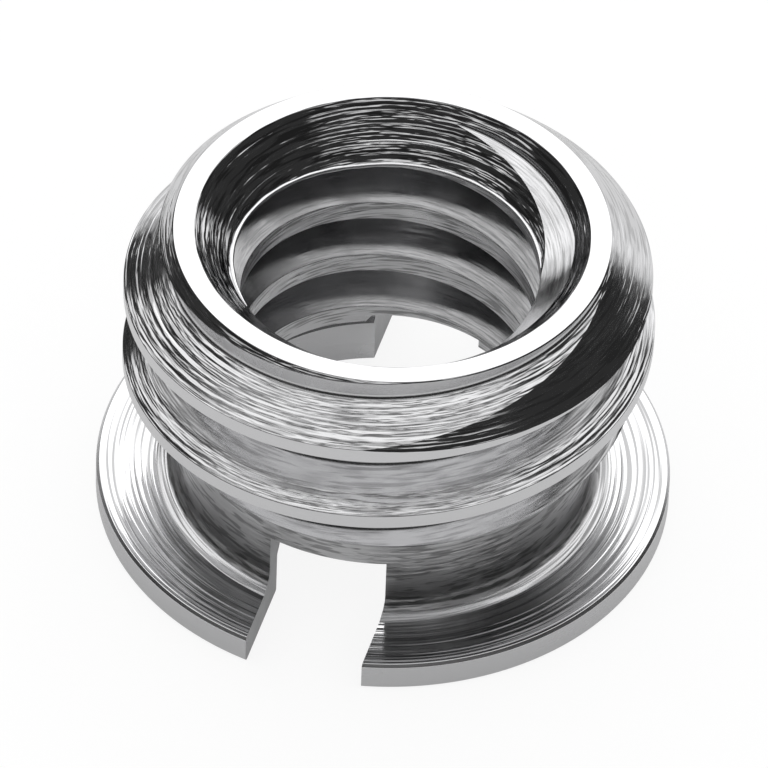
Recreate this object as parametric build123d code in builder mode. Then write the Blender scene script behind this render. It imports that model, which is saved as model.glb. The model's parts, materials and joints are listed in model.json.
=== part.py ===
from build123d import *
from build123d.topology import SkipClean
import math
import os

# Threaded reducer bushing, in millimetres. It stands on its flange: the origin is the middle
# of the base, +Z runs up the bore's axis, and the driver slot lies along Y.

# Overall
height = 6.25
flange_diameter = 10.3
flange_thickness = 0.60
edge_break = 0.08

# Outside thread, 3/8 in with 16 turns to the inch, right-hand. A land is the flat that the groove
# leaves at the crest, and the first land's middle is this far below the rim at azimuth 0.
outer_pitch = 1.5875
outer_crest_diameter = 9.40
outer_root_flat = 0.35
outer_land = 0.27
outer_land_below_rim = 0.64

# Inside thread, 1/4 in with 20 turns to the inch, right-hand, given in the same way
inner_pitch = 1.27
inner_crest_diameter = 5.26
inner_root_flat = 0.13
inner_land = 0.38
inner_land_below_rim = 1.08

# Flanks of a 60 degree thread lean 30 degrees from square to the axis
flank_slope = math.tan(math.radians(30))

# Flat rim between the countersink inside and the lead chamfer outside, both at 45 degrees
countersink_diameter = 6.96
rim_width = 0.36

# Clearance bore in the base, which meets the inside thread in a 45 degree cone
clearance_diameter = 6.60
clearance_depth = 1.55

# Relief where the outside thread ends above the flange, with a 45 degree shoulder. Its wall is
# what it leaves round the clearance bore.
relief_wall = 0.44
relief_height = 1.56
relief_fillet = 0.25

# Driver slot across the base
slot_width = 2.12
slot_depth = 1.72

# Room by which a cutter passes the surface that it cuts
overcut = 0.10

# The blank is turned in this many equal sectors, with a seam at this azimuth in degrees
sectors = 8
sector_azimuth = 8

# A thread is cut in arcs of this many degrees, clear of those seams
groove_arc = 90
groove_azimuth = 20

# Radii, and heights along the axis, that the features share
flange = flange_diameter / 2
outer_crest = outer_crest_diameter / 2
inner_crest = inner_crest_diameter / 2
rim_inner = countersink_diameter / 2
rim_outer = rim_inner + rim_width
clearance = clearance_diameter / 2
relief = clearance + relief_wall

relief_top = flange_thickness + relief_height
thread_bottom = relief_top + outer_crest - relief
lead_end = height - (outer_crest - rim_outer)
countersink_end = height - (rim_inner - inner_crest)
clearance_wall = clearance_depth - (clearance - inner_crest)


def thread_grooves(crest, pitch, land, root_flat, side, middle, start, end):
    """Make the helical groove that leaves lands at the crest radius, as solids to cut with.

    side is 1 for an outside thread and -1 for an inside one. middle is the height of the groove's
    middle at azimuth 0. The solids are equal arcs of the groove that run on from each other, and
    carry its middle from below start to above end.
    """
    mouth_half = (pitch - land) / 2
    root_half = root_flat / 2
    root = crest - side * (mouth_half - root_half) / flank_slope
    rise = pitch * groove_arc / 360
    with BuildPart() as arc:
        with BuildLine():
            Helix(pitch, rise, crest)
        with BuildSketch(Plane.XZ):
            with BuildLine():
                Polyline(
                    (root, -root_half),
                    (root, root_half),
                    (crest + side * overcut, mouth_half + overcut * flank_slope),
                    (crest + side * overcut, -mouth_half - overcut * flank_slope),
                    close=True,
                )
            make_face()
        sweep(is_frenet=True)
    datum = middle + pitch * groove_azimuth / 360
    first = math.floor((start - datum) / rise)
    last = math.ceil((end - datum) / rise)
    return [
        arc.part.moved(Location((0, 0, datum + rise * n), (0, 0, groove_azimuth + groove_arc * n)))
        for n in range(first, last)
    ]


# Inside thread, from the clearance bore up through the countersink
inner_grooves = thread_grooves(
    inner_crest,
    inner_pitch,
    inner_land,
    inner_root_flat,
    side=-1,
    middle=height - inner_land_below_rim - inner_pitch / 2,
    start=clearance_wall,
    end=height,
)

# Outside thread, from the relief up through the lead chamfer
outer_grooves = thread_grooves(
    outer_crest,
    outer_pitch,
    outer_land,
    outer_root_flat,
    side=1,
    middle=height - outer_land_below_rim - outer_pitch / 2,
    start=relief_top - overcut,
    end=height + outer_pitch / 2,
)

# Half-section of the turned blank
with BuildSketch(Plane.XZ) as half_section:
    with BuildLine():
        Polyline(
            (clearance, 0),
            (flange - edge_break, 0),
            (flange, edge_break),
            (flange, flange_thickness - edge_break),
            (flange - edge_break, flange_thickness),
            (relief, flange_thickness),
            (relief, relief_top),
            (outer_crest, thread_bottom),
            (outer_crest, lead_end),
            (rim_outer, height),
            (rim_inner, height),
            (inner_crest, countersink_end),
            (inner_crest, clearance_depth),
            (clearance, clearance_wall),
            close=True,
        )
    make_face()

    # Fillet at the foot of the relief
    foot = half_section.vertices().sort_by_distance((relief, flange_thickness))[0]
    fillet(foot, radius=relief_fillet)

with BuildPart() as adapter, SkipClean():
    # Turned blank, in sectors whose faces stay apart, so that each face of a thread's land is
    # short and lies at nearly one height
    for n in range(sectors):
        profile = half_section.sketch.rotate(Axis.Z, sector_azimuth + n * 360 / sectors)
        revolve(profile, axis=Axis.Z, revolution_arc=360 / sectors)

    # Driver slot, cut right across
    with BuildSketch(Plane.XY):
        Rectangle(slot_width, flange_diameter + 2 * overcut)
    extrude(amount=slot_depth, mode=Mode.SUBTRACT)

    # Both threads
    for groove in inner_grooves + outer_grooves:
        add(groove, mode=Mode.SUBTRACT)

adapter.part.label = "thread_adapter"

os.makedirs("parts", exist_ok=True)
export_step(adapter.part, "parts/thread_adapter.step")
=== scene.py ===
import json
import math
from collections import namedtuple

import bmesh
import bpy
from mathutils import Matrix, Vector


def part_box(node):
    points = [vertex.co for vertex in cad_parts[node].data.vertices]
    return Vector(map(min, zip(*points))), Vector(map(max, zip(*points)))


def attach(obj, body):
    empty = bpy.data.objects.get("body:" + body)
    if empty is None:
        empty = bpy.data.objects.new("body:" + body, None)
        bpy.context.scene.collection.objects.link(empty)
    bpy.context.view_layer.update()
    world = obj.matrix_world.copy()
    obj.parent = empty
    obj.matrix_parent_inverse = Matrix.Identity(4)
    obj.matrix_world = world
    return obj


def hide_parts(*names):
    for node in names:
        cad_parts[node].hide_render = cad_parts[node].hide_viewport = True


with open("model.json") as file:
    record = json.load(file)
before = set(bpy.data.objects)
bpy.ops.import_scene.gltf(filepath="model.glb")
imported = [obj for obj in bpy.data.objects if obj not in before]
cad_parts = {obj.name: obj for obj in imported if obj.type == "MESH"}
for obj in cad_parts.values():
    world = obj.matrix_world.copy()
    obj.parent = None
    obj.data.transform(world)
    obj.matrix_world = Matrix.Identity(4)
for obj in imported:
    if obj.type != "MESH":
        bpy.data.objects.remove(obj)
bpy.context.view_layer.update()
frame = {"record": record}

# Lengths are in metres
MM = 0.001
NODE = "thread_adapter"

# Sizes that the frame gives
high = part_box(NODE)[1]
mount_sizes = {mount["name"]: mount["dims"] for mount in frame["record"]["mounts"]}
HEIGHT = high.z
FLANGE = high.x
INNER_CREST = mount_sizes["inner_thread"]["r_mm"] * MM
OUTER_CREST = mount_sizes["outer_thread"]["r_mm"] * MM
CLEARANCE = mount_sizes["clearance_bore"]["r_mm"] * MM

# Sizes that the frame doesn't give, as in the part's source
FLANGE_THICKNESS = 0.60 * MM
EDGE_BREAK = 0.08 * MM
OUTER_PITCH = 25.4 / 16 * MM
OUTER_LAND = 0.27 * MM
OUTER_ROOT_FLAT = 0.35 * MM
OUTER_LAND_BELOW_RIM = 0.64 * MM
INNER_PITCH = 25.4 / 20 * MM
INNER_LAND = 0.38 * MM
INNER_ROOT_FLAT = 0.13 * MM
INNER_LAND_BELOW_RIM = 1.08 * MM
FLANK_SLOPE = math.tan(math.radians(30))
RIM_INNER = 3.48 * MM
RIM_WIDTH = 0.36 * MM
RELIEF_WALL = 0.44 * MM
RELIEF_HEIGHT = 1.56 * MM
RELIEF_FILLET = 0.25 * MM
CLEARANCE_DEPTH = 1.55 * MM
SLOT_WIDTH = 2.12 * MM
SLOT_DEPTH = 1.72 * MM

# Radii, and heights along the axis, that follow from them
RIM_OUTER = RIM_INNER + RIM_WIDTH
RELIEF = CLEARANCE + RELIEF_WALL
RELIEF_TOP = FLANGE_THICKNESS + RELIEF_HEIGHT
THREAD_BOTTOM = RELIEF_TOP + OUTER_CREST - RELIEF
LEAD_END = HEIGHT - (OUTER_CREST - RIM_OUTER)
COUNTERSINK_END = HEIGHT - (RIM_INNER - INNER_CREST)
CLEARANCE_WALL = CLEARANCE_DEPTH - (CLEARANCE - INNER_CREST)

# Fine forms that the part's source leaves out: the small radii that a real tool leaves, a
# narrower break on the flange's upper edge, and a low cone round the relief's foot
ROOT_RADIUS = 0.10 * MM
EDGE_RADIUS = 0.025 * MM
TOP_BREAK = 0.05 * MM
FOOT_RING = 4.07 * MM
FOOT_SLOPE = math.tan(math.radians(24))

# Burrs, which it leaves out too. Each runs along the countersink between two azimuths, in degrees
# from the camera's side, that far above the lower edge.
Burr = namedtuple("Burr", "name start end above radius")
BURRS = [
    Burr("edge_burr", start=92, end=300, above=0, radius=0.05 * MM),
    Burr("upper_burr", start=150, end=194, above=0.30 * MM, radius=0.025 * MM),
]

# A burr's radius ripples by a share of itself, at two rates to the radian, and grows from a small
# share of itself at each end
BURR_RIPPLE = 0.15
BURR_RIPPLE_RATES = (23, 9.3)
BURR_END = 0.05
BURR_GROWTH = 12

# How finely round forms are divided
TURN_STEPS = 256
BURR_SIDES = 10
ARC_STEP = math.radians(15)

# How far a cutter passes the surface that it cuts, how far along it a groove's lips blend into
# the lands, and how far apart two points are when they merge
OVERCUT = 0.03 * MM
LIP_REACH = 0.11 * MM
MERGE_DISTANCE = 0.0002 * MM

# The plate's colour
PLATE = (0.78, 0.78, 0.79)

# Layers of its marks, by noise that runs from 0 to 1. Fine lines are narrower and longer than a
# zone's ripples, and patches are wider. Dark dashes lie where their noise is below a level, with
# soft borders. The grain's scale is to the millimetre, and the others are multiples of the zone's.
RIPPLE_ROUGHNESS = 0.6
LINE_SCALE = 1.6
LINE_STRETCH = 3
DASH_SCALE = 1.8
DASH_LEVEL = 0.45
DASH_BORDER = 0.04
PATCH_SCALE = 1 / 5
PATCH_LOW = 0.35
PATCH_HIGH = 0.65
GRAIN_SCALE = 20

# Calm marks gain their full strength between two heights, and have it in a band at the crest
CALM_BELOW = 4.75 * MM
FULL_ABOVE = 5.1 * MM
CREST_BAND = 0.45 * MM

# Painted shade darkens the plate down in the bore, and fades out between two heights
BORE_SHADE_FULL = 4.9 * MM
BORE_SHADE_GONE = 5.4 * MM

# The floor's size, its shade by the studio's light, the strength of its own white, and the shares
# of that white that the camera and reflections see
FLOOR_SIZE = 1.5
FLOOR_SHADE = 0.8
FLOOR_WHITE = 1.09
WHITE_SEEN = 0.8
WHITE_MIRRORED = 0.2

# The world's light on all that is matte
WORLD_LIGHT = 0.75

# The studio's radius, how far out its cards stand and how far one is from the next as multiples
# of that, and the size of a card's squares in degrees
STUDIO_RADIUS = 0.5
CARD_REACH = 1.2
CARD_GAP = 0.02
CARD_STEP = 4

# The camera, which looks down on the side at this azimuth. Its angles are in degrees, and its
# focus is its focal length as a multiple of the picture's width.
CAMERA_AZIMUTH = -75.5
CAMERA_OUT = 120.891 * MM
CAMERA_ABOVE_RIM = 112.001 * MM
CAMERA_YAW = -0.020
CAMERA_PITCH = 43.752
CAMERA_ROLL = 2.282
CAMERA_FOCUS = 12.253

# A corner of a section gives its radius and height, its rounding, and the zone that follows it.
# A span is a straight step of the rounded section, with the metal's true normal at both ends.
# A section has the pitch of its helix, or 0, and the height of its middle at azimuth 0.
Corner = namedtuple("Corner", "r z rounding zone")
Span = namedtuple("Span", "start end start_normal end_normal zone")
Section = namedtuple("Section", "spans pitch middle")


def rounded(corners):
    """Round a closed section, which keeps the metal on its left, and return its spans."""
    places = [Vector((corner.r, corner.z)) for corner in corners]
    count = len(places)
    arcs = []
    for n, corner in enumerate(corners):
        arrive = (places[n] - places[n - 1]).normalized()
        leave = (places[(n + 1) % count] - places[n]).normalized()
        turn = math.atan2(arrive.x * leave.y - arrive.y * leave.x, arrive.dot(leave))
        side = math.copysign(1, turn)
        start = places[n] - arrive * corner.rounding * math.tan(abs(turn) / 2)
        first_normal = Vector((arrive.y, -arrive.x))
        centre = start - first_normal * side * corner.rounding
        steps = max(1, math.ceil(abs(turn) / ARC_STEP))
        arc = []
        for step in range(steps + 1):
            normal = Matrix.Rotation(turn * step / steps, 2) @ first_normal
            arc.append((centre + normal * side * corner.rounding, normal))
        arcs.append(arc)
    spans = []
    for n, corner in enumerate(corners):
        arc = arcs[n]
        if corner.rounding:
            for (start, start_normal), (end, end_normal) in zip(arc, arc[1:]):
                spans.append(Span(start, end, start_normal, end_normal, corner.zone))
        start, normal = arc[-1]
        end = arcs[(n + 1) % count][0][0]
        spans.append(Span(start, end, normal, normal, corner.zone))
    return spans


def blank_section():
    """Half-section of the turned blank."""
    foot_top = FLANGE_THICKNESS + (FOOT_RING - RELIEF) * FOOT_SLOPE
    corners = [
        Corner(CLEARANCE, 0, EDGE_RADIUS, "base"),
        Corner(FLANGE - EDGE_BREAK, 0, EDGE_RADIUS, "edge"),
        Corner(FLANGE, EDGE_BREAK, EDGE_RADIUS, "edge"),
        Corner(FLANGE, FLANGE_THICKNESS - TOP_BREAK, EDGE_RADIUS, "edge_break"),
        Corner(FLANGE - TOP_BREAK, FLANGE_THICKNESS, EDGE_RADIUS, "flange_face"),
        Corner(FOOT_RING, FLANGE_THICKNESS, EDGE_RADIUS, "foot"),
        Corner(RELIEF, foot_top, RELIEF_FILLET, "neck"),
        Corner(RELIEF, RELIEF_TOP, ROOT_RADIUS, "neck"),
        Corner(OUTER_CREST, THREAD_BOTTOM, EDGE_RADIUS, "land"),
        Corner(OUTER_CREST, LEAD_END, EDGE_RADIUS, "lead"),
        Corner(RIM_OUTER, HEIGHT, EDGE_RADIUS, "rim"),
        Corner(RIM_INNER, HEIGHT, EDGE_RADIUS, "countersink"),
        Corner(INNER_CREST, COUNTERSINK_END, EDGE_RADIUS, "bore_land"),
        Corner(INNER_CREST, CLEARANCE_DEPTH, EDGE_RADIUS, "clearance"),
        Corner(CLEARANCE, CLEARANCE_WALL, EDGE_RADIUS, "clearance"),
    ]
    return Section(rounded(corners), pitch=0, middle=0)


def groove_section(crest, pitch, land, root_flat, side, middle, zone):
    """Section of a thread's groove, with a rounded root and lips that blend into the lands.

    side is 1 for the outside thread and -1 for the inside one. middle is the height of the
    groove's middle at azimuth 0.
    """
    mouth_half = (pitch - land) / 2
    root_half = root_flat / 2
    root = crest - side * (mouth_half - root_half) / FLANK_SLOPE
    out = crest + side * OVERCUT
    up = side * (mouth_half + LIP_REACH)
    corners = [
        Corner(root, -side * root_half, ROOT_RADIUS, zone + "_root"),
        Corner(root, side * root_half, ROOT_RADIUS, zone + "_flank"),
        Corner(crest, side * mouth_half, EDGE_RADIUS, zone + "_flank"),
        Corner(out, up, 0, zone + "_flank"),
        Corner(out, -up, 0, zone + "_flank"),
        Corner(crest, -side * mouth_half, EDGE_RADIUS, zone + "_flank"),
    ]
    return Section(rounded(corners), pitch, middle)


def new_object(name, mesh):
    """Link a mesh to the scene as an object of the same name."""
    obj = bpy.data.objects.new(name, mesh)
    bpy.context.scene.collection.objects.link(obj)
    return obj


def swept(name, section, turns, closed):
    """Sweep a section about Z, along its helix if it has a pitch, with a material for each zone."""
    zones = list(dict.fromkeys(span.zone for span in section.spans))
    points = [span.start for span in section.spans]
    count = len(points)
    vertices = []
    for turn in turns:
        angle = math.tau * turn
        lift = section.middle + section.pitch * turn
        vertices += [(r * math.cos(angle), r * math.sin(angle), z + lift) for r, z in points]
    faces = []
    slots = []
    rings = len(turns)
    for ring in range(rings if closed else rings - 1):
        here = ring * count
        there = (ring + 1) % rings * count
        for n, span in enumerate(section.spans):
            m = (n + 1) % count
            faces.append((here + n, there + n, there + m, here + m))
            slots.append(zones.index(span.zone))
    if not closed:
        faces += [tuple(range(count)), tuple(range((rings - 1) * count, rings * count))]
        slots += [0, 0]
    mesh = bpy.data.meshes.new(name)
    mesh.from_pydata(vertices, [], faces)
    mesh.polygons.foreach_set("material_index", slots)
    for zone in zones:
        mesh.materials.append(bpy.data.materials[zone])
    form = bmesh.new()
    form.from_mesh(mesh)
    bmesh.ops.recalc_face_normals(form, faces=form.faces)
    form.to_mesh(mesh)
    form.free()
    return new_object(name, mesh)


def lathe(name, section):
    """Turn a section all the way round."""
    turns = [step / TURN_STEPS for step in range(TURN_STEPS)]
    return swept(name, section, turns, closed=True)


def groove_cutter(name, section, start, end):
    """Sweep a groove along its helix, from the height start to the height end. Its steps fall
    between those of the blank, so that no edges of the two lie on each other."""
    first = math.floor((start - section.middle) / section.pitch * TURN_STEPS) + 0.5
    steps = math.ceil((end - start) / section.pitch * TURN_STEPS)
    turns = [(first + step) / TURN_STEPS for step in range(steps + 1)]
    return swept(name, section, turns, closed=False)


def formed(name, form):
    """Make a bmesh into an object, with the material of the same name."""
    mesh = bpy.data.meshes.new(name)
    form.to_mesh(mesh)
    form.free()
    mesh.materials.append(bpy.data.materials[name])
    return new_object(name, mesh)


def slot_cutter():
    """A box as wide and deep as the driver slot."""
    form = bmesh.new()
    size = Vector((SLOT_WIDTH, 2 * (FLANGE + OVERCUT), SLOT_DEPTH + OVERCUT))
    place = Matrix.Translation((0, 0, (SLOT_DEPTH - OVERCUT) / 2)) @ Matrix.Diagonal(size.to_4d())
    bmesh.ops.create_cube(form, size=1, matrix=place)
    return formed("slot", form)


def burr_middle(angle, above):
    """The place on the countersink at an angle about Z, that far above its lower edge.

    The edge lies on the bore's land, and climbs the countersink where the thread's groove has
    taken the land away.
    """
    turns = (angle - math.radians(CAMERA_AZIMUTH)) / math.tau % 1 + CAMERA_AZIMUTH / 360
    land_bottom = HEIGHT - INNER_LAND_BELOW_RIM - INNER_LAND / 2 + INNER_PITCH * turns
    climb = max(land_bottom - COUNTERSINK_END, 0) / (1 + FLANK_SLOPE) + above
    radius = INNER_CREST + climb
    return Vector((radius * math.cos(angle), radius * math.sin(angle), COUNTERSINK_END + climb))


def make_burr(burr):
    """A fine burr along a line on the countersink, with a point at each end."""
    steps = round((burr.end - burr.start) / 360 * TURN_STEPS)
    quick, slow = BURR_RIPPLE_RATES
    form = bmesh.new()
    rings = []
    for step in range(steps + 1):
        share = step / steps
        angle = math.radians(burr.start + (burr.end - burr.start) * share + CAMERA_AZIMUTH)
        middle = burr_middle(angle, burr.above)
        wave = math.sin(quick * angle) * math.sin(slow * angle)
        ripple = 1 - BURR_RIPPLE + BURR_RIPPLE * wave
        taper = math.sqrt(min(1, BURR_GROWTH * share * (1 - share)))
        radius = burr.radius * max(ripple * taper, BURR_END)
        out = Vector((math.cos(angle), math.sin(angle), 0))
        ring = []
        for side in range(BURR_SIDES):
            turn = math.tau * side / BURR_SIDES
            offset = out * math.cos(turn) + Vector((0, 0, math.sin(turn)))
            ring.append(form.verts.new(middle + offset * radius))
        rings.append(ring)
    for here, there in zip(rings, rings[1:]):
        for n in range(BURR_SIDES):
            m = (n + 1) % BURR_SIDES
            form.faces.new((here[n], here[m], there[m], there[n]))
    form.faces.new(rings[0])
    form.faces.new(rings[-1])
    bmesh.ops.recalc_face_normals(form, faces=form.faces)
    return formed(burr.name, form)


def combine(target, other, operation="DIFFERENCE"):
    """Subtract or add another object, whose faces keep their materials, and delete it."""
    modifier = target.modifiers.new("combine", "BOOLEAN")
    modifier.operation = operation
    modifier.solver = "EXACT"
    modifier.material_mode = "TRANSFER"
    modifier.object = other
    depsgraph = bpy.context.evaluated_depsgraph_get()
    mesh = bpy.data.meshes.new_from_object(target.evaluated_get(depsgraph))
    target.modifiers.clear()
    target.data = mesh
    bpy.data.objects.remove(other)


def merge_points(mesh):
    """Merge the points that a cut leaves a hair apart."""
    form = bmesh.new()
    form.from_mesh(mesh)
    bmesh.ops.remove_doubles(form, verts=form.verts, dist=MERGE_DISTANCE)
    form.to_mesh(mesh)
    form.free()


def share_along(span, place):
    """How far along a span a place lies, from 0 to 1."""
    run = span.end - span.start
    return min(max((place - span.start).dot(run) / run.length_squared, 0), 1)


def span_behind(section, zone, centre):
    """The span of a zone that made the face with this centre, and how many turns round the
    helix the face lies."""
    turns = math.atan2(centre.y, centre.x) / math.tau
    height = centre.z - section.middle
    if section.pitch:
        turns += round(height / section.pitch - turns)
    place = Vector((math.hypot(centre.x, centre.y), height - section.pitch * turns))

    def gap(span):
        nearest = span.start + (span.end - span.start) * share_along(span, place)
        return (nearest - place).length_squared

    return min((span for span in section.spans if span.zone == zone), key=gap), turns


def true_normal(point, section, span, turns):
    """The metal's normal at a point of a face, from the span of the section that made the face.

    turns is how far round the helix the face lies.
    """
    radius = math.hypot(point.x, point.y)
    angle = math.atan2(point.y, point.x)
    here = angle / math.tau
    here += round(turns - here)
    place = Vector((radius, point.z - section.middle - section.pitch * here))
    share = share_along(span, place)
    out, up = span.start_normal.lerp(span.end_normal, share).normalized()
    along = -up * section.pitch / (math.tau * radius)
    cosine = math.cos(angle)
    sine = math.sin(angle)
    return Vector((out * cosine - along * sine, out * sine + along * cosine, up)).normalized()


def burr_normal(point, above):
    """A burr's normal at a point, which is away from its middle line."""
    return (point - burr_middle(math.atan2(point.y, point.x), above)).normalized()


def shade_truly(mesh, sections):
    """Give each corner of each face the normal of the form that made it, so that flat zones shade
    flat and round ones round. The slot's flat faces keep their own."""
    home = {span.zone: section for section in sections for span in section.spans}
    burrs = {burr.name: burr.above for burr in BURRS}
    normals = [None] * len(mesh.loops)
    for face in mesh.polygons:
        zone = mesh.materials[face.material_index].name
        if zone in home:
            span, turns = span_behind(home[zone], zone, face.center)
        for loop in face.loop_indices:
            point = mesh.vertices[mesh.loops[loop].vertex_index].co
            if zone in home:
                normals[loop] = true_normal(point, home[zone], span, turns)
            elif zone in burrs:
                normals[loop] = burr_normal(point, burrs[zone])
            else:
                normals[loop] = face.normal.copy()
    mesh.shade_smooth()
    mesh.normals_split_custom_set(normals)


def make_adapter():
    """Turn the blank, cut the inside thread, raise the burrs on it, and cut the outside thread
    and the driver slot."""
    blank = blank_section()
    inner = groove_section(
        INNER_CREST, INNER_PITCH, INNER_LAND, INNER_ROOT_FLAT, side=-1,
        middle=HEIGHT - INNER_LAND_BELOW_RIM - INNER_PITCH / 2, zone="tapped",
    )
    outer = groove_section(
        OUTER_CREST, OUTER_PITCH, OUTER_LAND, OUTER_ROOT_FLAT, side=1,
        middle=HEIGHT - OUTER_LAND_BELOW_RIM - OUTER_PITCH / 2, zone="threaded",
    )
    adapter = lathe("adapter", blank)
    inner_start = CLEARANCE_DEPTH - 2 * (CLEARANCE - INNER_CREST)
    combine(adapter, groove_cutter("inner_groove", inner, inner_start, HEIGHT + INNER_PITCH / 4))
    for burr in BURRS:
        combine(adapter, make_burr(burr), "UNION")
    outer_start = RELIEF_TOP - OUTER_PITCH / 4
    combine(adapter, groove_cutter("outer_groove", outer, outer_start, HEIGHT + OUTER_PITCH / 2))
    combine(adapter, slot_cutter())
    merge_points(adapter.data)
    shade_truly(adapter.data, [blank, inner, outer])
    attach(adapter, "root")
    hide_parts(NODE)


class Nodes:
    """The node tree of a material or a world, emptied, with short calls to add and join nodes."""

    def __init__(self, owner):
        owner.use_nodes = True
        self.tree = owner.node_tree
        self.tree.nodes.clear()

    def add(self, kind, **settings):
        """Add a node with these settings."""
        node = self.tree.nodes.new(kind)
        for key, value in settings.items():
            setattr(node, key, value)
        return node

    def join(self, value, socket):
        """Give a socket a constant, or another node's output."""
        if isinstance(value, bpy.types.NodeSocket):
            self.tree.links.new(value, socket)
        else:
            socket.default_value = value

    def math(self, operation, first, second=0.0):
        """Work out a number from one or two others."""
        node = self.add("ShaderNodeMath", operation=operation)
        self.join(first, node.inputs[0])
        self.join(second, node.inputs[1])
        return node.outputs[0]

    def spread(self, value, low, high, to_low, to_high):
        """Map a range of a value to another range, and clamp it."""
        node = self.add("ShaderNodeMapRange")
        self.join(value, node.inputs["Value"])
        node.inputs["From Min"].default_value = low
        node.inputs["From Max"].default_value = high
        node.inputs["To Min"].default_value = to_low
        node.inputs["To Max"].default_value = to_high
        return node.outputs[0]

    def round_place(self):
        """The place on the part, as radius, height, and the cosine and sine round the axis."""
        place = self.add("ShaderNodeTexCoord").outputs["Object"]
        split = self.add("ShaderNodeSeparateXYZ")
        self.join(place, split.inputs[0])
        x, y, z = split.outputs
        square = self.math("ADD", self.math("MULTIPLY", x, x), self.math("MULTIPLY", y, y))
        radius = self.math("SQRT", square)
        return radius, z, self.math("DIVIDE", x, radius), self.math("DIVIDE", y, radius)

    def marks(self, out, up, around, detail=2.0, roughness=0.5):
        """Noise drawn out round the axis, as a cutting tool leaves it. out and up are its scales
        to the millimetre, and around its scale to the radian. It has no seam."""
        radius, height, cosine, sine = self.round_place()
        row = self.add("ShaderNodeCombineXYZ")
        self.join(self.math("MULTIPLY", radius, out / MM), row.inputs[0])
        self.join(self.math("MULTIPLY", height, up / MM), row.inputs[1])
        self.join(self.math("MULTIPLY", cosine, around), row.inputs[2])
        noise = self.add("ShaderNodeTexNoise", noise_dimensions="4D")
        self.join(row.outputs[0], noise.inputs["Vector"])
        self.join(self.math("MULTIPLY", sine, around), noise.inputs["W"])
        noise.inputs["Scale"].default_value = 1.0
        noise.inputs["Detail"].default_value = detail
        noise.inputs["Roughness"].default_value = roughness
        return noise.outputs["Fac"]

    def grain(self, scale):
        """Plain noise, with its scale to the millimetre."""
        place = self.add("ShaderNodeTexCoord").outputs["Object"]
        noise = self.add("ShaderNodeTexNoise")
        self.join(place, noise.inputs["Vector"])
        noise.inputs["Scale"].default_value = scale / MM
        return noise.outputs["Fac"]

    def bump(self, height, distance, normal=None, strength=1.0):
        """Bend a normal, or the surface's own, along a height that is distance metres at 1."""
        node = self.add("ShaderNodeBump")
        self.join(strength, node.inputs["Strength"])
        node.inputs["Distance"].default_value = distance
        self.join(height, node.inputs["Height"])
        if normal is not None:
            self.join(normal, node.inputs["Normal"])
        return node.outputs[0]

    def dim(self, colour, share):
        """Take a share away from a colour's brightness."""
        node = self.add("ShaderNodeMix", data_type="RGBA")
        self.join(share, node.inputs["Factor"])
        self.join(colour, node.inputs["A"])
        node.inputs["B"].default_value = (0, 0, 0, 1)
        return node.outputs["Result"]

    def rays(self):
        """Two numbers: 1 for the camera's own rays, and 1 for rays that reflections and glass
        send on."""
        path = self.add("ShaderNodeLightPath").outputs
        sent_on = self.math("MAXIMUM", path["Is Glossy Ray"], path["Is Transmission Ray"])
        return path["Is Camera Ray"], sent_on

    def white(self, strength):
        """Add a shader that is white by its own light."""
        node = self.add("ShaderNodeEmission")
        node.inputs["Strength"].default_value = strength
        return node

    def mix(self, first, second, share):
        """Mix a share of the second shader into the first."""
        node = self.add("ShaderNodeMixShader")
        self.join(share, node.inputs["Fac"])
        self.join(first.outputs[0], node.inputs[1])
        self.join(second.outputs[0], node.inputs[2])
        return node

    def finish(self, shader, kind="ShaderNodeOutputMaterial"):
        """Make a shader the surface."""
        output = self.add(kind)
        self.join(shader.outputs[0], output.inputs["Surface"])


def plate(name, out, up, around, depth, smooth, rough, dark=0.0, shade=1.0, inside=1.0,
          grain=0.0, calm=1.0):
    """Bright plate over cutting marks.

    out, up and around are the scales of the marks, depth is their depth in millimetres, and
    grain that of a fine grain all over. The roughness goes from smooth to rough in patches. dark
    is the share of the brightness that dashes lose, shade is the plate's brightness, and inside
    that down in the bore, where it is painted shade that fades out higher up. calm is the share of
    the marks that is left under the first turn, away from the crest.
    """
    nodes = Nodes(bpy.data.materials.new(name))
    strength = 1.0
    if calm != 1:
        radius, height = nodes.round_place()[:2]
        crest_start = OUTER_CREST - CREST_BAND
        first_turn = nodes.spread(height, CALM_BELOW, FULL_ABOVE, calm, 1)
        crest = nodes.spread(radius, crest_start, crest_start + CREST_BAND / 2, calm, 1)
        strength = nodes.math("MAXIMUM", first_turn, crest)
    lines = nodes.marks(LINE_SCALE * out, LINE_SCALE * up, around / LINE_STRETCH, detail=1.0)
    ripples = nodes.marks(out, up, around, roughness=RIPPLE_ROUGHNESS)
    normal = nodes.bump(nodes.math("ADD", lines, ripples), depth * MM, strength=strength)
    if grain:
        normal = nodes.bump(nodes.grain(GRAIN_SCALE), grain * MM, normal)
    colour = tuple(shade * channel for channel in PLATE) + (1,)
    if dark:
        dashes = nodes.marks(DASH_SCALE * out, DASH_SCALE * up, around, detail=1.0)
        cover = nodes.spread(dashes, DASH_LEVEL - DASH_BORDER, DASH_LEVEL + DASH_BORDER, 1, 0)
        colour = nodes.dim(colour, nodes.math("MULTIPLY", cover, dark))
    # Painted shade: the plate darkens down in the bore, and fades out between two heights
    if inside != 1:
        height = nodes.round_place()[1]
        colour = nodes.dim(colour, nodes.spread(height, BORE_SHADE_FULL, BORE_SHADE_GONE, 1 - inside, 0))
    patches = nodes.marks(PATCH_SCALE * out, PATCH_SCALE * up, around)
    roughness = nodes.spread(patches, PATCH_LOW, PATCH_HIGH, smooth, rough)
    shader = nodes.add("ShaderNodeBsdfPrincipled")
    shader.inputs["Metallic"].default_value = 1.0
    nodes.join(colour, shader.inputs["Base Color"])
    nodes.join(roughness, shader.inputs["Roughness"])
    nodes.join(normal, shader.inputs["Normal"])
    nodes.finish(shader)


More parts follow.
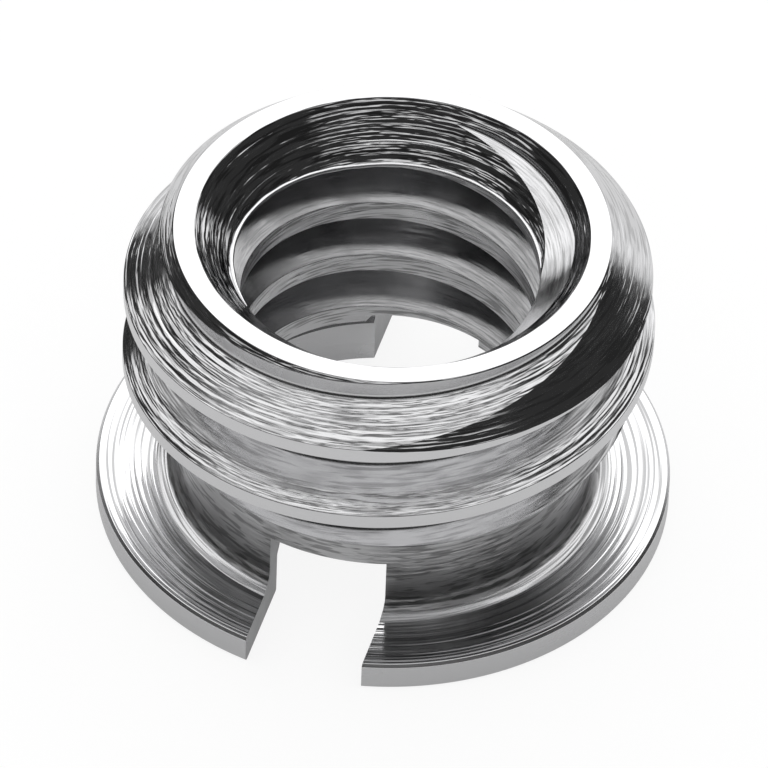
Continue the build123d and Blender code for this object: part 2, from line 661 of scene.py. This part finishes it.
def make_metals():
    """The plate as each cutting tool left it, zone by zone, with painted light in some zones:
    painted shade on the neck and down in the bore, and a painted highlight on the tapped thread's
    flanks. Marks on a thread's flanks and roots follow its helix, so they depend on the radius and
    hardly on the height."""
    plate("base", out=8, up=8, around=2, depth=0.008, smooth=0.2, rough=0.35, dark=0.4)
    plate("edge", out=8, up=12, around=2, depth=0.002, smooth=0.2, rough=0.3, shade=0.8)
    plate("edge_break", out=8, up=12, around=2, depth=0.002, smooth=0.25, rough=0.35)
    plate("flange_face", out=10, up=10, around=1, depth=0.012, smooth=0.1, rough=0.2, dark=0.5)
    # The neck's darker plate is painted shade, in the recess under the thread
    plate("neck", out=9, up=9, around=8, depth=0.012, smooth=0.3, rough=0.45, dark=0.45, shade=0.7)
    plate("foot", out=10, up=10, around=2, depth=0.01, smooth=0.2, rough=0.3, dark=0.5)
    plate("land", out=8, up=12, around=3, depth=0.002, smooth=0.15, rough=0.25, shade=0.9)
    plate("lead", out=10, up=10, around=5, depth=0.014, smooth=0.1, rough=0.18, dark=0.3)
    plate("rim", out=9, up=9, around=2, depth=0.003, smooth=0.1, rough=0.2)
    plate("countersink", out=9, up=9, around=4, depth=0.018, smooth=0.08, rough=0.15, dark=0.5)
    for burr in BURRS:
        plate(burr.name, out=8, up=8, around=8, depth=0.004, smooth=0.15, rough=0.25)
    plate("bore_land", out=9, up=14, around=4, depth=0.012, smooth=0.25, rough=0.4, dark=0.5)
    plate("clearance", out=9, up=9, around=3, depth=0.01, smooth=0.25, rough=0.4)
    # Both parts of the tapped thread get painted shade down in the bore
    plate("tapped_root", out=12, up=1, around=5, depth=0.004, smooth=0.4, rough=0.42, inside=0.6)
    # The tapped flanks' brighter plate is a painted highlight, where they cut into the countersink
    plate("tapped_flank", out=10, up=1, around=5, depth=0.003, smooth=0.12, rough=0.25, shade=1.15,
          inside=0.52)
    plate("threaded_root", out=12, up=1, around=5, depth=0.002, smooth=0.2, rough=0.3, shade=0.8)
    plate("threaded_flank", out=10, up=0.6, around=5, depth=0.015, smooth=0.1, rough=0.18, dark=0.3,
          calm=0.15)
    plate("slot", out=9, up=9, around=5, depth=0.012, smooth=0.4, rough=0.5, shade=0.7, grain=0.006)


def make_floor():
    """A plain white floor that keeps a soft shadow. It is mostly white by itself to the camera's
    rays, and slightly to reflections."""
    material = bpy.data.materials.new("white_floor")
    nodes = Nodes(material)
    matte = nodes.add("ShaderNodeBsdfDiffuse")
    matte.inputs["Color"].default_value = (FLOOR_SHADE, FLOOR_SHADE, FLOOR_SHADE, 1)
    camera, sent_on = nodes.rays()
    seen = nodes.math("MULTIPLY", camera, WHITE_SEEN)
    mirrored = nodes.math("MULTIPLY", sent_on, WHITE_MIRRORED)
    share = nodes.math("MAXIMUM", seen, mirrored)
    nodes.finish(nodes.mix(matte, nodes.white(FLOOR_WHITE), share))
    half = FLOOR_SIZE / 2
    corners = [(-half, -half, 0), (half, -half, 0), (half, half, 0), (-half, half, 0)]
    mesh = bpy.data.meshes.new("floor")
    mesh.from_pydata(corners, [], [(0, 1, 2, 3)])
    mesh.materials.append(material)
    new_object("floor", mesh)


def make_world():
    """White all round for the rays that show a background, and soft light for the rest."""
    world = bpy.data.worlds.new("studio")
    bpy.context.scene.world = world
    nodes = Nodes(world)
    camera, sent_on = nodes.rays()
    shown = nodes.math("MAXIMUM", camera, sent_on)
    background = nodes.add("ShaderNodeBackground")
    background.inputs["Color"].default_value = (1, 1, 1, 1)
    nodes.join(nodes.spread(shown, 0, 1, WORLD_LIGHT, 1), background.inputs["Strength"])
    nodes.finish(background, "ShaderNodeOutputWorld")


def direction(azimuth, elevation):
    """The unit vector at an azimuth and an elevation in degrees. Azimuth 0 is the camera's side,
    and 90 its right."""
    turn = math.radians(azimuth + CAMERA_AZIMUTH)
    lift = math.radians(elevation)
    level = math.cos(lift)
    return Vector((level * math.cos(turn), level * math.sin(turn), math.sin(lift)))


def mirrored_direction(azimuth, tilt):
    """The direction that a face mirrors to the camera, if it leans by tilt degrees from level
    towards an azimuth."""
    view = direction(0, CAMERA_PITCH)
    normal = direction(azimuth, 90 - tilt)
    return 2 * view.dot(normal) * normal - view


def softbox(name, azimuth, elevation, width, tall, brightness):
    """A rectangular lamp of that many degrees across, as seen from the adapter."""
    lamp = bpy.data.lights.new(name, "AREA")
    lamp.shape = "RECTANGLE"
    lamp.size = 2 * STUDIO_RADIUS * math.tan(math.radians(width / 2))
    lamp.size_y = 2 * STUDIO_RADIUS * math.tan(math.radians(tall / 2))
    lamp.energy = brightness * math.pi * lamp.size * lamp.size_y
    obj = bpy.data.objects.new(name, lamp)
    bpy.context.scene.collection.objects.link(obj)
    way = direction(azimuth, elevation)
    obj.location = way * STUDIO_RADIUS
    obj.rotation_euler = way.to_track_quat("Z", "Y").to_euler()


def fade(value, low, high, margin):
    """1 between low and high, and falling smoothly to 0 over the margin outside them."""
    outside = max(low - value, value - high, 0) / margin
    share = max(1 - outside, 0)
    return share * share * (3 - 2 * share)


def card(name, azimuths, heights, brightness, margin, nearness, place=direction):
    """A curved card with soft borders, which only reflections show.

    It covers ranges of azimuth and of height in degrees, and reaches margin degrees past them as
    it fades. place turns the two into a direction: direction takes the height as an elevation,
    and mirrored_direction as the tilt of the faces that mirror the card. The nearest of two cards
    that overlap covers the other.
    """
    material = bpy.data.materials.new(name)
    nodes = Nodes(material)
    clear = nodes.add("ShaderNodeBsdfTransparent")
    cover = nodes.add("ShaderNodeAttribute", attribute_name="cover").outputs["Fac"]
    nodes.finish(nodes.mix(clear, nodes.white(brightness), cover))
    left, right = azimuths
    bottom, top = heights
    columns = math.ceil((right - left + 2 * margin) / CARD_STEP)
    first = max(bottom - margin, 0)
    last = min(top + margin, 90)
    rows = math.ceil((last - first) / CARD_STEP)
    radius = STUDIO_RADIUS * (CARD_REACH - nearness * CARD_GAP)
    vertices = []
    covers = []
    for row in range(rows + 1):
        height = first + (last - first) * row / rows
        for column in range(columns + 1):
            azimuth = left - margin + (right - left + 2 * margin) * column / columns
            vertices.append(place(azimuth, height) * radius)
            covers.append(fade(azimuth, left, right, margin) * fade(height, bottom, top, margin))
    faces = []
    for row in range(rows):
        for column in range(columns):
            n = row * (columns + 1) + column
            faces.append((n, n + 1, n + columns + 2, n + columns + 1))
    mesh = bpy.data.meshes.new(name)
    mesh.from_pydata(vertices, [], faces)
    mesh.attributes.new("cover", "FLOAT", "POINT").data.foreach_set("value", covers)
    mesh.materials.append(material)
    obj = new_object(name, mesh)
    obj.visible_camera = False
    obj.visible_diffuse = False
    obj.visible_shadow = False


def make_studio():
    """Soft light from behind and above, over dark cards to the front and sides. The front strip
    and the overhead card are placed by the lean of the faces that mirror them. The overhead card
    ends where the threads' flanks mirror it, so that they flicker along their marks."""
    softbox("back_softbox", azimuth=180, elevation=40, width=80, tall=40, brightness=0.6)
    card("dark_tent", azimuths=(-150, 128), heights=(0, 90), brightness=0.03, margin=8, nearness=1)
    card("front_strip", azimuths=(-45, 25), heights=(35.5, 38.5), brightness=0.8, margin=3,
         nearness=2, place=mirrored_direction)
    card("overhead_card", azimuths=(-86, 100), heights=(12, 29.4), brightness=1.1, margin=3,
         nearness=3, place=mirrored_direction)


def make_camera():
    """The photograph's view, looking down into the bore."""
    camera = bpy.data.cameras.new("camera")
    camera.lens = CAMERA_FOCUS * camera.sensor_width
    camera.clip_start = 1 * MM
    obj = bpy.data.objects.new("camera", camera)
    bpy.context.scene.collection.objects.link(obj)
    turn = Matrix.Rotation(math.radians(CAMERA_AZIMUTH + 90), 4, "Z")
    yaw = Matrix.Rotation(math.radians(-CAMERA_YAW), 4, "Z")
    pitch = Matrix.Rotation(math.radians(90 - CAMERA_PITCH), 4, "X")
    roll = Matrix.Rotation(math.radians(CAMERA_ROLL), 4, "Z")
    place = turn @ Matrix.Translation((0, -CAMERA_OUT, CAMERA_ABOVE_RIM + HEIGHT))
    obj.matrix_world = place @ yaw @ pitch @ roll
    bpy.context.scene.camera = obj


make_metals()
make_adapter()
make_floor()
make_world()
make_studio()
make_camera()
bpy.context.scene.view_settings.view_transform = "Standard"
